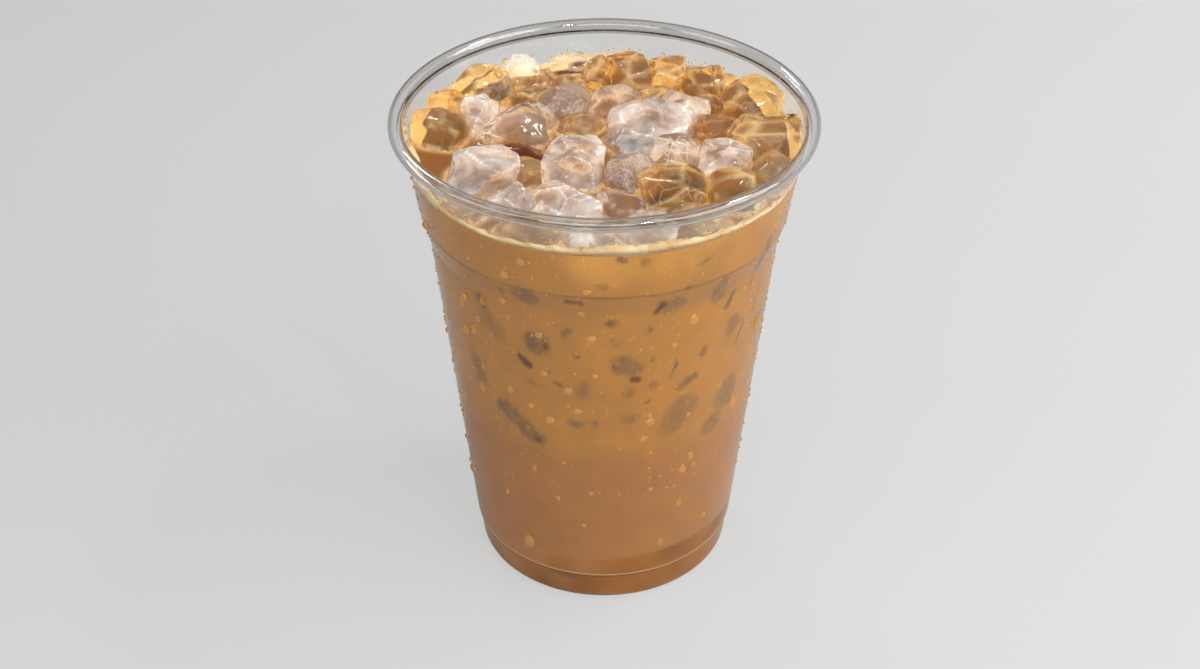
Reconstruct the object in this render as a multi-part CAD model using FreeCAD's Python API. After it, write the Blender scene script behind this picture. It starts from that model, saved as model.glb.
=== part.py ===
"""Iced milk coffee in a clear take-away cup with a rolled rim.

Units are millimetres. +Z is up, and the origin is the centre of the ring that the cup stands on.
The cup is one thermoformed sheet. The drink in it is three layers, and broken ice floats in the top one.
"""

import FreeCAD
import Part

import math
import os
import random

Vec = FreeCAD.Vector

# ---- Cup: the formed sheet --------------------------------------------------
RIM_DIAMETER = 98.0        # over the rolled rim
CUP_HEIGHT = 120.0
SHEET = 0.4                # wall thickness
ROLL_DIAMETER = 3.2        # the rolled rim, outside
ROLL_END_DEG = -115.0      # where the rolled edge stops, seen from the roll's centre
BAND_FLARE = 6.1           # from the top of the stacking shoulder out to the edge of the rim
SHOULDER_DROP = 23.0       # from the top of the rim down to the top of the shoulder
SHOULDER_STEP = 1.85       # how far the shoulder steps out,
SHOULDER_HEIGHT = 5.8      # and over what height
FOOT_LINE_Z = 8.5          # the step that runs round the wall above the foot
FOOT_LINE_R = 32.5
FOOT_STEP = 0.5            # how far the foot is set in below that step
FOOT_TAPER = 0.8           # how much narrower the foot band is at the bottom than at its step
STANDING_WIDTH = 3.7       # the ring that the cup stands on, before its edges are rounded
BASE_RISE = 6.0            # the floor is pushed up by this much, inside the standing ring,
BASE_SLOPE = 3.0           # and leans in by this much on the way up
FOOT_CORNER = 2.2          # rounding between the standing ring and the foot band
SHOULDER_ROUND = 2.5
SMALL_ROUND = 0.8

# ---- Drink ------------------------------------------------------------------
FREEBOARD = 10.5           # from the top of the rim down to the surface of the drink
LEVEL_Z = CUP_HEIGHT - FREEBOARD
MILKY_TOP_Z = 49.5         # below this the drink is milkier and holds no ice
SETTLED_RISE = 6.5         # the settled coffee reaches this far above the foot line
SETTLED_TOP_Z = FOOT_LINE_Z + SETTLED_RISE
FROTH_RISE = 2.2           # how far the froth climbs the wall
FROTH_WIDTH = 2.4          # how far it reaches in from the wall
FROTH_HOLLOW = 0.35        # its hollow face passes the corner at this share of both

# ---- Ice --------------------------------------------------------------------
ICE_GAP = 0.7              # drink between two neighbouring lumps
ICE_WALL_GAP = 0.35        # drink between a lump and the cup
ICE_FACETS = 13            # broken faces on a lump, before its neighbours trim it
ICE_FACET_NEAR = 0.92      # a face lies between these shares of the lump's half size from its middle
ICE_FACET_FAR = 1.15
ICE_TOP_TILT = 0.25        # how far the topmost face may lean, as a slope
ICE_TALL = 0.95            # a lump's height, as a share of its mean width
ICE_SEED = 7
ICE_FIELD_R = 44.4         # the radius of the surface that the rows below are drawn for
SMALLEST_SOLID = 1.0       # cubic millimetres; froth crumbs under this are left out

# One row for each lump: x and y of its middle, its width and depth, and how far its top stands
# above the drink.
ICE = (
    # against the back of the wall, left to right
    (-29, 27, 14, 13, 6.0),
    (-21, 37, 10, 8, 4.0),
    (-18, 28, 9, 8, 4.0),
    (-8, 38, 11, 8, 4.5),
    (-8, 29, 9, 8, 3.5),
    (-1, 32, 7, 8, 6.0),
    (7, 31, 12, 11, 7.6),
    (15, 31, 9, 10, 7.2),
    (23, 29, 9, 10, 6.3),
    (30, 31, 7, 7, 3.0),
    # across the middle, left to right
    (-38, 18, 8, 8, 5.0),
    (-38, 7, 11, 13, 6.2),
    (-29, 12, 11, 10, 6.8),
    (-19, 7, 13, 12, 6.0),
    (-19, 18, 10, 8, 4.0),
    (-9, 20, 13, 12, 5.5),
    (-6, 10, 9, 8, 3.0),
    (3, 18, 11, 10, 5.5),
    (13, 22, 9, 8, 4.0),
    (10, 3, 18, 15, 8.0),
    (18, 12, 11, 10, 7.4),
    (24, 19, 9, 8, 3.5),
    (34, 17, 13, 12, 7.4),
    (26, 5, 10, 9, 5.0),
    (36, 0, 13, 12, 6.4),
    # the front half, left to right
    (-29, 1, 9, 8, 2.0),
    (-19, -3, 12, 9, 2.2),
    (-7, -1, 11, 9, 3.0),
    (-28, -14, 14, 13, 7.2),
    (-17, -13, 9, 8, 4.0),
    (-7, -12, 14, 13, 7.8),
    (5, -13, 10, 11, 5.6),
    (17, -7, 11, 9, 6.6),
    (27, -9, 12, 10, 6.0),
    (37, -13, 9, 11, 5.0),
    (16, -21, 16, 12, 4.6),
    (28, -21, 12, 11, 5.4),
    (-21, -24, 14, 11, 4.2),
    (-8, -27, 13, 11, 4.6),
    (4, -26, 11, 10, 3.0),
    # against the front of the wall, left to right
    (-31, -28, 11, 9, 3.6),
    (-17, -37, 14, 9, 3.4),
    (-4, -38, 11, 9, 4.2),
    (8, -36, 13, 10, 4.0),
    (20, -33, 12, 9, 3.6),
)

PARTS = "parts"
BIG = 200.0                # larger than anything here, for trimming tools


def unit(dr, dz):
    """The direction (dr, dz) at length 1."""
    length = math.hypot(dr, dz)
    return dr / length, dz / length


def point(r, z):
    """A point of a profile, in the XZ plane."""
    return Vec(r, 0, z)


# ---- Profiles: corners are (r, z, rounding) ----------------------------------
def rounded_path(corners):
    """Edges through the corners, with a tangent arc at each one that has a rounding."""
    edges = []
    here = corners[0][:2]
    for before, corner, after in zip(corners, corners[1:], corners[2:]):
        r, z, rounding = corner
        back = unit(before[0] - r, before[1] - z)
        on = unit(after[0] - r, after[1] - z)
        half = math.acos(max(-1.0, min(1.0, back[0] * on[0] + back[1] * on[1]))) / 2
        if rounding <= 0 or half > math.pi / 2 - 1e-3:
            edges.append(Part.LineSegment(point(*here), point(r, z)).toShape())
            here = (r, z)
            continue
        reach = rounding / math.tan(half)
        start = (r + back[0] * reach, z + back[1] * reach)
        end = (r + on[0] * reach, z + on[1] * reach)
        middle = unit(back[0] + on[0], back[1] + on[1])
        depth = rounding / math.sin(half) - rounding
        crown = (r + middle[0] * depth, z + middle[1] * depth)
        edges.append(Part.LineSegment(point(*here), point(*start)).toShape())
        edges.append(Part.Arc(point(*start), point(*crown), point(*end)).toShape())
        here = end
    edges.append(Part.LineSegment(point(*here), point(*corners[-1][:2])).toShape())
    return edges


def offset_path(corners, distance):
    """The same path, moved to its left by distance, with its roundings kept concentric."""
    ways = [unit(b[0] - a[0], b[1] - a[1]) for a, b in zip(corners, corners[1:])]
    lefts = [(-dz, dr) for dr, dz in ways]
    moved = []
    for i, (r, z, rounding) in enumerate(corners):
        into = ways[max(i - 1, 0)]
        out = ways[min(i, len(ways) - 1)]
        n_in = lefts[max(i - 1, 0)]
        n_out = lefts[min(i, len(ways) - 1)]
        turn = into[0] * out[1] - into[1] * out[0]
        share = distance / (1 + n_in[0] * n_out[0] + n_in[1] * n_out[1])
        moved.append((
            r + (n_in[0] + n_out[0]) * share,
            z + (n_in[1] + n_out[1]) * share,
            max(rounding - math.copysign(distance, turn), 0) if rounding else 0,
        ))
    return moved


def tangent_from(start, centre, radius):
    """Where a line from start touches the circle, with the circle on the line's right."""
    dr, dz = centre[0] - start[0], centre[1] - start[1]
    bearing = math.atan2(dz, dr) + math.asin(radius / math.hypot(dr, dz))
    return (
        centre[0] - radius * math.sin(bearing),
        centre[1] + radius * math.cos(bearing),
    )


def arc_round(centre, radius, start, end_deg):
    """An arc that runs clockwise over the top of a circle, from the point start to an angle."""
    first = math.atan2(start[1] - centre[1], start[0] - centre[0])
    last = math.radians(end_deg)
    middle = (first + last) / 2

    def on(angle):
        return (centre[0] + radius * math.cos(angle), centre[1] + radius * math.sin(angle))

    return Part.Arc(point(*start), point(*on(middle)), point(*on(last))).toShape(), on(last)


ROLL_R = ROLL_DIAMETER / 2
ROLL_CENTRE = (RIM_DIAMETER / 2 - ROLL_R, CUP_HEIGHT - ROLL_R)


def outside_path():
    """The sheet's outer face, from the middle of the base up to where the rim starts to roll."""
    shoulder_top = (RIM_DIAMETER / 2 - BAND_FLARE, CUP_HEIGHT - SHOULDER_DROP)
    shoulder_foot = (shoulder_top[0] - SHOULDER_STEP, shoulder_top[1] - SHOULDER_HEIGHT)
    rim_start = tangent_from(shoulder_top, ROLL_CENTRE, ROLL_R - SHEET)
    foot_r = FOOT_LINE_R - FOOT_STEP
    standing_r = foot_r - FOOT_TAPER
    inner_r = standing_r - STANDING_WIDTH
    return [
        (0, BASE_RISE, 0),
        (inner_r - BASE_SLOPE, BASE_RISE, 2 * SMALL_ROUND),
        (inner_r, 0, SMALL_ROUND),
        (standing_r, 0, FOOT_CORNER),
        (foot_r, FOOT_LINE_Z - FOOT_STEP, SMALL_ROUND / 4),
        (FOOT_LINE_R, FOOT_LINE_Z, SMALL_ROUND / 2),
        (*shoulder_foot, SHOULDER_ROUND),
        (*shoulder_top, SHOULDER_ROUND / 2),
        (*rim_start, 0),
    ]


def revolved(edges):
    """The solid that a closed profile makes, turned once about the Z axis."""
    face = Part.Face(Part.Wire(Part.__sortEdges__(edges)))
    return face.revolve(Vec(0, 0, 0), Vec(0, 0, 1), 360)


def cup():
    """The cup: one sheet of even thickness, its rim rolled outwards."""
    outside = outside_path()
    inside = offset_path(outside, SHEET)
    outer_arc, outer_end = arc_round(ROLL_CENTRE, ROLL_R - SHEET, outside[-1][:2], ROLL_END_DEG)
    inner_arc, inner_end = arc_round(ROLL_CENTRE, ROLL_R, inside[-1][:2], ROLL_END_DEG)
    lip = Part.LineSegment(point(*outer_end), point(*inner_end)).toShape()
    axis = Part.LineSegment(point(*outside[0][:2]), point(*inside[0][:2])).toShape()
    return revolved(rounded_path(outside) + rounded_path(inside) + [outer_arc, inner_arc, lip, axis])


def cup_space(gap=0.0):
    """The space inside the cup up to where the rim rolls, kept gap clear of the sheet."""
    wall = offset_path(outside_path(), SHEET + gap)
    top_z = wall[-1][1]
    top = Part.LineSegment(point(*wall[-1][:2]), point(0, top_z)).toShape()
    axis = Part.LineSegment(point(0, top_z), point(*wall[0][:2])).toShape()
    return revolved(rounded_path(wall) + [top, axis])


def slab(low, high):
    """Everything between two heights."""
    return Part.makeCylinder(BIG, high - low, Vec(0, 0, low))


# ---- Ice ---------------------------------------------------------------------
def beyond(where, normal):
    """A large block that fills the far side of a plane."""
    block = Part.makeBox(BIG, BIG, BIG, Vec(-BIG / 2, -BIG / 2, 0))
    block.Placement = FreeCAD.Placement(where, FreeCAD.Rotation(Vec(0, 0, 1), normal))
    return block


def placed(row, spread):
    """The middle of a lump and its half sizes, with the rows spread to the size of the surface."""
    x, y, width, depth, rise = row
    half_z = (width + depth) / 4 * ICE_TALL
    middle = Vec(x * spread, y * spread, LEVEL_Z + rise - half_z)
    return middle, Vec(width * spread / 2, depth * spread / 2, half_z)


def reach(half, way):
    """How far an ellipsoid of these half sizes reaches in a direction."""
    return math.sqrt((half.x * way.x) ** 2 + (half.y * way.y) ** 2 + (half.z * way.z) ** 2)


def broken_faces(chance):
    """Directions spread evenly over a ball and tumbled by chance, and one close to straight up."""
    tumble = FreeCAD.Rotation(
        chance.uniform(0, 360), chance.uniform(-90, 90), chance.uniform(0, 360)
    )
    golden = math.pi * (3 - math.sqrt(5))
    ways = []
    for i in range(ICE_FACETS):
        z = 1 - (2 * i + 1) / ICE_FACETS
        ring = math.sqrt(1 - z * z)
        way = Vec(ring * math.cos(golden * i), ring * math.sin(golden * i), z)
        ways.append(tumble.multVec(way))
    lean_x = chance.uniform(-ICE_TOP_TILT, ICE_TOP_TILT)
    lean_y = chance.uniform(-ICE_TOP_TILT, ICE_TOP_TILT)
    return ways, Vec(lean_x, lean_y, 1).normalize()


def lump(index, spread, space):
    """One lump: broken faces round its middle, trimmed halfway to its neighbours and at the wall."""
    chance = random.Random(ICE_SEED + index)
    middle, half = placed(ICE[index], spread)
    reach_out = 2 * max(half.x, half.y, half.z)
    corner = middle - Vec(reach_out, reach_out, reach_out)
    solid = Part.makeBox(2 * reach_out, 2 * reach_out, 2 * reach_out, corner)
    ways, top = broken_faces(chance)
    for way in ways:
        share = chance.uniform(ICE_FACET_NEAR, ICE_FACET_FAR)
        solid = solid.cut(beyond(middle + way * reach(half, way) * share, way))
    solid = solid.cut(beyond(middle + Vec(0, 0, half.z), top))
    for other, row in enumerate(ICE):
        their_middle, their_half = placed(row, spread)
        apart = their_middle - middle
        their_reach = 2 * max(their_half.x, their_half.y, their_half.z)
        if other == index or apart.Length > reach_out + their_reach:
            continue
        way = Vec(apart).normalize()
        mine = reach(half, way)
        share = mine / (mine + reach(their_half, way))
        solid = solid.cut(beyond(middle + way * (apart.Length * share - ICE_GAP / 2), way))
    return solid.common(space).removeSplitter()


# ---- Drink -------------------------------------------------------------------
def froth_ring():
    """Froth that clings to the wall: a hollow-faced fillet between the surface and the sheet."""
    wall = cup_space()
    top = LEVEL_Z + FROTH_RISE
    wall_r = wall.common(slab(LEVEL_Z, top)).BoundBox.XMax
    inner = (wall_r - FROTH_WIDTH, LEVEL_Z)
    hollow = (wall_r - FROTH_WIDTH * FROTH_HOLLOW, LEVEL_Z + FROTH_RISE * FROTH_HOLLOW)
    face = Part.Arc(point(*inner), point(*hollow), point(wall_r, top)).toShape()
    back = [(wall_r, top), (wall_r + SHEET, top), (wall_r + SHEET, LEVEL_Z), inner]
    outer = Part.makePolygon([point(*corner) for corner in back])
    return revolved([face] + outer.Edges).common(wall)


def cut_round(solid, lumps):
    """What is left of a layer where the ice is not."""
    left = solid
    for one in lumps:
        if left.BoundBox.intersect(one.BoundBox):
            left = left.cut(one)
    kept = [s for s in left.Solids if s.Volume > SMALLEST_SOLID]
    return kept[0] if len(kept) == 1 else Part.makeCompound(kept)


def main():
    """Builds every piece and writes one STEP file for each."""
    os.makedirs(PARTS, exist_ok=True)
    space = cup_space()
    clear = cup_space(ICE_WALL_GAP)
    surface_r = space.common(slab(LEVEL_Z - SHEET, LEVEL_Z)).BoundBox.XMax
    lumps = [lump(i, surface_r / ICE_FIELD_R, clear) for i in range(len(ICE))]
    pieces = {
        "cup": cup(),
        "settled_coffee": space.common(slab(0, SETTLED_TOP_Z)),
        "milky_coffee": space.common(slab(SETTLED_TOP_Z, MILKY_TOP_Z)),
        "iced_coffee": cut_round(space.common(slab(MILKY_TOP_Z, LEVEL_Z)), lumps),
        "froth": cut_round(froth_ring(), lumps),
    }
    for i, solid in enumerate(lumps):
        pieces[f"ice_{i + 1:02d}"] = solid
    for name, shape in pieces.items():
        shape.exportStep(os.path.join(PARTS, name + ".step"))
        box = shape.BoundBox
        print(
            f"{name:15s} solids {len(shape.Solids)} valid {shape.isValid()} "
            f"volume {shape.Volume / 1000:8.2f} cm3 z {box.ZMin:6.1f} to {box.ZMax:6.1f}"
        )


main()
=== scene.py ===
"""Iced milk coffee in a clear PET cup: every surface and its finish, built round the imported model.

Sizes in the classes are millimetres, and Blender's own units are metres. +Z is up along the cup's
axis. A bearing is an angle in degrees round that axis, from the side that faces the viewer (-Y)
towards +X.
"""

import logging
import math
import random
from dataclasses import dataclass, field
from enum import Enum
from typing import Any, Optional, Sequence, Union

import bmesh
import bpy
import numpy as np
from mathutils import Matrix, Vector, noise
from mathutils.bvhtree import BVHTree


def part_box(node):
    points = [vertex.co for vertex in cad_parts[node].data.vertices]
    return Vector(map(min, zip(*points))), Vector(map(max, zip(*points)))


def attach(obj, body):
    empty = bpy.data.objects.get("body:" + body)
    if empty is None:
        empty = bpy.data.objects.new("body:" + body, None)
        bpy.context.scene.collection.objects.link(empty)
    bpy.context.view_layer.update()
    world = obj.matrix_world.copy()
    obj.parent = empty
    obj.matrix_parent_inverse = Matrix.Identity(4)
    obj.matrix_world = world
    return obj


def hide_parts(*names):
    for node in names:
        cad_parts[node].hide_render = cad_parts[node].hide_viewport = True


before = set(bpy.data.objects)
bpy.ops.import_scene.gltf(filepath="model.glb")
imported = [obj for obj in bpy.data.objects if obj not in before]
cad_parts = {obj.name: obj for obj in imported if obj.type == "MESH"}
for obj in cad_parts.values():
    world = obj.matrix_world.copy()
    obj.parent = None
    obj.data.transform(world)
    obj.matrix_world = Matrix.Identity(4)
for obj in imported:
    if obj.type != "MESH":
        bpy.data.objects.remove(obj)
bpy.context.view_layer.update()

LOG = logging.getLogger("iced_coffee")
MM = 0.001
BODY = "root"

Path = list[tuple[float, float]]
Corner = tuple[float, float, float]
Tree = bpy.types.NodeTree
Socket = bpy.types.NodeSocket
Colour = Union[str, bpy.types.NodeSocket]    # a hex value or a node's output


# ---- Small tools ---------------------------------------------------------------------------
def linear(hex_colour: str) -> tuple[float, float, float, float]:
    """Turns an sRGB hex colour into the linear colour that a shader socket takes.

    Args:
        hex_colour: a colour such as "#C8A070".

    Returns:
        Red, green, blue and an alpha of 1, all linear.
    """
    parts = [int(hex_colour[i:i + 2], 16) / 255 for i in (1, 3, 5)]
    red, green, blue = [p / 12.92 if p <= 0.04045 else ((p + 0.055) / 1.055) ** 2.4 for p in parts]
    return red, green, blue, 1.0


def per_mm(size: float) -> float:
    """The texture scale, in cycles a metre, of a pattern that repeats every size millimetres."""
    return 1.0 / (size * MM)


def add_node(
    tree: Tree, kind: str, inputs: Optional[dict[Any, Any]] = None, out: Any = 0, **settings: Any
) -> Optional[Socket]:
    """Adds one node with its settings and its links.

    Args:
        tree: the node tree that gets the node.
        kind: Blender's name for the node's type, without its "ShaderNode" start.
        inputs: what each input takes, by name or number: another node's output, which is linked,
            a hex colour, or a plain value.
        out: the name or number of the output that is wanted.
        settings: the node's own properties, by name.

    Returns:
        That output, or None for a node that has none.
    """
    node = tree.nodes.new("ShaderNode" + kind)
    for name, value in settings.items():
        setattr(node, name, value)
    for key, value in (inputs or {}).items():
        if isinstance(value, Socket):
            tree.links.new(value, node.inputs[key])
        else:
            node.inputs[key].default_value = linear(value) if isinstance(value, str) else value
    return node.outputs[out] if len(node.outputs) else None


def smooth_step(low: float, high: float, value: np.ndarray) -> np.ndarray:
    """A soft step from 0 at low to 1 at high, which may lie below low."""
    share = np.clip((value - low) / (high - low), 0.0, 1.0)
    return share * share * (3 - 2 * share)


def unit(dr: float, dz: float) -> tuple[float, float]:
    """The direction (dr, dz) at length 1."""
    length = math.hypot(dr, dz)
    return dr / length, dz / length


def wrapped(degrees: np.ndarray) -> np.ndarray:
    """Angles brought into the half turn either side of 0."""
    return (degrees + 180.0) % 360.0 - 180.0


@dataclass
class Surface:
    """A mesh in the making: points in millimetres, faces, and a number for each point by name."""

    points: np.ndarray
    faces: list[Sequence[int]]
    marks: dict[str, np.ndarray] = field(default_factory=dict)

    def to_object(self, name: str, sharp_deg: float = 50.0) -> bpy.types.Object:
        """Makes the Blender object, smooth shaded, in metres, with its normals outwards.

        Args:
            name: the piece's name.
            sharp_deg: edges that turn by more than this stay sharp.

        Returns:
            The object, linked into the scene.
        """
        mesh = bpy.data.meshes.new(name)
        mesh.from_pydata((self.points * MM).tolist(), [], self.faces)
        work = bmesh.new()
        work.from_mesh(mesh)
        bmesh.ops.recalc_face_normals(work, faces=work.faces)
        work.to_mesh(mesh)
        work.free()
        for mark, numbers in self.marks.items():
            attribute = mesh.attributes.new(mark, "FLOAT", "POINT")
            attribute.data.foreach_set("value", np.asarray(numbers, np.float32))
        mesh.shade_smooth()
        mesh.set_sharp_from_angle(angle=math.radians(sharp_deg))
        mesh.validate()
        made = bpy.data.objects.new(name, mesh)
        bpy.context.scene.collection.objects.link(made)
        return made


def lathe(path: Path, segments: int) -> Surface:
    """Turns a path of (radius, height) once round the axis. A radius of 0 closes it with a fan.

    Args:
        path: the points of the profile, in order.
        segments: how many steps make the full turn.

    Returns:
        The turned surface.
    """
    turn = np.arange(segments) * (2 * math.pi / segments)
    ring_x, ring_y = np.sin(turn), -np.cos(turn)
    points: list[np.ndarray] = []
    starts: list[tuple[int, bool]] = []
    count = 0
    for r, z in path:
        pole = r < 1e-6
        starts.append((count, pole))
        if pole:
            points.append(np.array([[0.0, 0.0, z]]))
        else:
            points.append(np.stack([ring_x * r, ring_y * r, np.full(segments, z)], 1))
        count += 1 if pole else segments
    faces: list[Sequence[int]] = []
    for (a, a_pole), (b, b_pole) in zip(starts, starts[1:]):
        for i in range(segments):
            j = (i + 1) % segments
            if a_pole and not b_pole:
                faces.append((a, b + i, b + j))
            elif b_pole and not a_pole:
                faces.append((a + i, a + j, b))
            elif not a_pole:
                faces.append((a + i, a + j, b + j, b + i))
    return Surface(np.concatenate(points), faces)


def dress(piece: bpy.types.Object, material: bpy.types.Material, slot: str, *nodes: str) -> None:
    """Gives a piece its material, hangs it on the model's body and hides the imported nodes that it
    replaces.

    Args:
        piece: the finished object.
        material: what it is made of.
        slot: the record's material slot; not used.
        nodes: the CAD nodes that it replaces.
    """
    piece.data.materials.clear()
    piece.data.materials.append(material)
    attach(piece, BODY)
    if nodes:
        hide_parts(*nodes)
    LOG.info("%s: %d faces, in %s", piece.name, len(piece.data.polygons), material.name)


# ---- Finishes ------------------------------------------------------------------------------
class Along(Enum):
    """What a spread runs along."""

    CLOUD = "a cloudy pattern of a real size"
    MARK = "a number that the mesh carries at each point"
    HEIGHT = "the height above the table"
    RADIUS = "the distance from the cup's axis"


@dataclass(frozen=True)
class Spread:
    """How much of something shows from place to place: softly from least to most, low to high.

    low and high are millimetres along a height or a radius, and plain numbers otherwise. Where
    they are the same, the share is what it runs along, as it stands.
    """

    low: float = 0.0
    high: float = 0.0
    least: float = 0.0
    most: float = 1.0
    along: Along = Along.CLOUD
    size: float = 1.0          # the width of a cloud, in millimetres
    finer: float = 2.0         # how many finer layers a cloud has
    mark: str = ""             # the mesh's name for its number

    def source(self, tree: Tree) -> Socket:
        """Adds what it runs along.

        Args:
            tree: the node tree.

        Returns:
            Its value at each point, where lengths are metres.
        """
        if self.along is Along.MARK:
            return add_node(tree, "Attribute", out="Fac", attribute_name=self.mark)
        spot = add_node(tree, "TexCoord", out="Object")
        if self.along is Along.HEIGHT:
            return add_node(tree, "SeparateXYZ", {0: spot}, "Z")
        if self.along is Along.RADIUS:
            flat = add_node(tree, "VectorMath", {0: spot, 1: (1, 1, 0)}, operation="MULTIPLY")
            return add_node(tree, "VectorMath", {0: flat}, "Value", operation="LENGTH")
        inputs = {"Vector": spot, "Scale": per_mm(self.size), "Detail": self.finer}
        return add_node(tree, "TexNoise", inputs)

    def share(self, tree: Tree, value: Optional[Socket] = None) -> Socket:
        """Adds the nodes that give the share.

        Args:
            tree: the node tree.
            value: what it runs along, where that is there already.

        Returns:
            The share at each point.
        """
        if value is None:
            value = self.source(tree)
        if self.low == self.high:
            return value
        scale = MM if self.along in (Along.HEIGHT, Along.RADIUS) else 1.0
        ends = {1: self.low * scale, 2: self.high * scale, 3: self.least, 4: self.most}
        return add_node(tree, "MapRange", {0: value, **ends}, interpolation_type="SMOOTHSTEP")


def laid_over(tree: Tree, below: Colour, above: Colour, *shares: Socket) -> Socket:
    """Lays one colour over another, as far as the product of its shares says.

    Args:
        tree: the node tree.
        below: the colour underneath.
        above: the colour on top.
        shares: how far it covers, from 0 to 1.

    Returns:
        The colour that shows.
    """
    share = shares[0]
    for more in shares[1:]:
        share = add_node(tree, "Math", {0: share, 1: more}, operation="MULTIPLY", use_clamp=True)
    return add_node(tree, "Mix", {0: share, 6: below, 7: above}, 2, data_type="RGBA")


def level_line(tree: Tree, middle: float, half: float, most: float = 1.0) -> tuple[Socket, Socket]:
    """Adds a soft level line round the cup.

    Args:
        tree: the node tree.
        middle: the line's height, in millimetres.
        half: how far it reaches up and down from there.
        most: its share in the middle.

    Returns:
        The share below its middle and the share above, whose product is the line.
    """
    lower = Spread(middle - half, middle, 0.0, most, Along.HEIGHT)
    upper = Spread(middle + half, middle, along=Along.HEIGHT)
    return lower.share(tree), upper.share(tree)


def lamps_through(tree: Tree, shader: Socket, shadow: str) -> Socket:
    """Lets the light of lamps pass a clear surface, with a tint, so that what is behind is lit.

    Args:
        tree: the node tree.
        shader: the surface as it is seen.
        shadow: what one passage leaves of white light, as a hex colour.

    Returns:
        The finished surface.
    """
    open_way = add_node(tree, "BsdfTransparent", {"Color": shadow})
    ray = add_node(tree, "LightPath", out="Is Shadow Ray")
    return add_node(tree, "MixShader", {0: ray, 1: shader, 2: open_way})


class Finish:
    """A finish that pieces can be dressed in. Each one describes its own surface."""

    name = "finish"

    def surface(self, tree: Tree) -> Socket:
        """Builds the shader and returns the socket that the output takes."""
        raise NotImplementedError

    def material(self) -> bpy.types.Material:
        """Makes the material the first time, and gives the same one after that.

        Returns:
            The material.
        """
        made = bpy.data.materials.get(self.name)
        if made is None:
            made = bpy.data.materials.new(self.name)
            made.use_nodes = True
            made.node_tree.nodes.clear()
            add_node(made.node_tree, "OutputMaterial", {"Surface": self.surface(made.node_tree)})
        return made


@dataclass(frozen=True)
class PetSheet(Finish):
    """Thermoformed PET: clear as glass, with the faint waviness that moulding leaves."""

    name: str = "PET sheet, thermoformed"
    colour: str = "#FAFCFC"
    rolled: str = "#FBFBFB"    # light is lost in the roll of the rim, which looks greyer
    edge: str = "#C4C0BB"      # and darkest along its two sides, where the sheet is seen edge on
    shadow: str = "#F7F8F8"
    roll: Spread = Spread(116.6, 117.0, along=Along.HEIGHT)
    inner_side: Spread = Spread(46.25, 46.0, along=Along.RADIUS)
    outer_side: Spread = Spread(48.62, 48.87, along=Along.RADIUS)
    ripple: Spread = Spread(size=9.0)
    ripple_rise: float = 0.02
    ior: float = 1.575
    roughness: float = 0.02

    def surface(self, tree: Tree) -> Socket:
        """Clear, glossy and slightly rippled, and greyer in the roll.

        Args:
            tree: the material's node tree.

        Returns:
            The finished surface.
        """
        rolled = self.roll.share(tree)
        sides = {0: self.inner_side.share(tree), 1: self.outer_side.share(tree)}
        side = add_node(tree, "Math", sides, operation="MAXIMUM", use_clamp=True)
        colour = laid_over(tree, self.colour, self.rolled, rolled)
        ripples = {"Height": self.ripple.source(tree), "Distance": self.ripple_rise * MM}
        shader = add_node(tree, "BsdfPrincipled", {
            "Base Color": laid_over(tree, colour, self.edge, side, rolled),
            "Roughness": self.roughness, "IOR": self.ior, "Transmission Weight": 1.0,
            "Normal": add_node(tree, "Bump", ripples),
        })
        return lamps_through(tree, shader, self.shadow)


@dataclass(frozen=True)
class Water(Finish):
    """Condensed water: clear drops with a sharp glint, lit up warm by the drink behind them."""

    name: str = "water, condensed drops"
    colour: str = "#F6D896"
    shadow: str = "#FAFAFA"
    clear: float = 0.89        # what isn't clear stands for the light that a drop gathers
    rough: Spread = Spread(0.35, 0.7, 0.01, 0.04, size=0.8)    # only breaks up the glints
    ior: float = 1.333

    def surface(self, tree: Tree) -> Socket:
        """Clear and very smooth, with the finest unevenness.

        Args:
            tree: the material's node tree.

        Returns:
            The finished surface.
        """
        shader = add_node(tree, "BsdfPrincipled", {
            "Base Color": self.colour, "Roughness": self.rough.share(tree), "IOR": self.ior,
            "Transmission Weight": self.clear,
        })
        return lamps_through(tree, shader, self.shadow)


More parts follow.
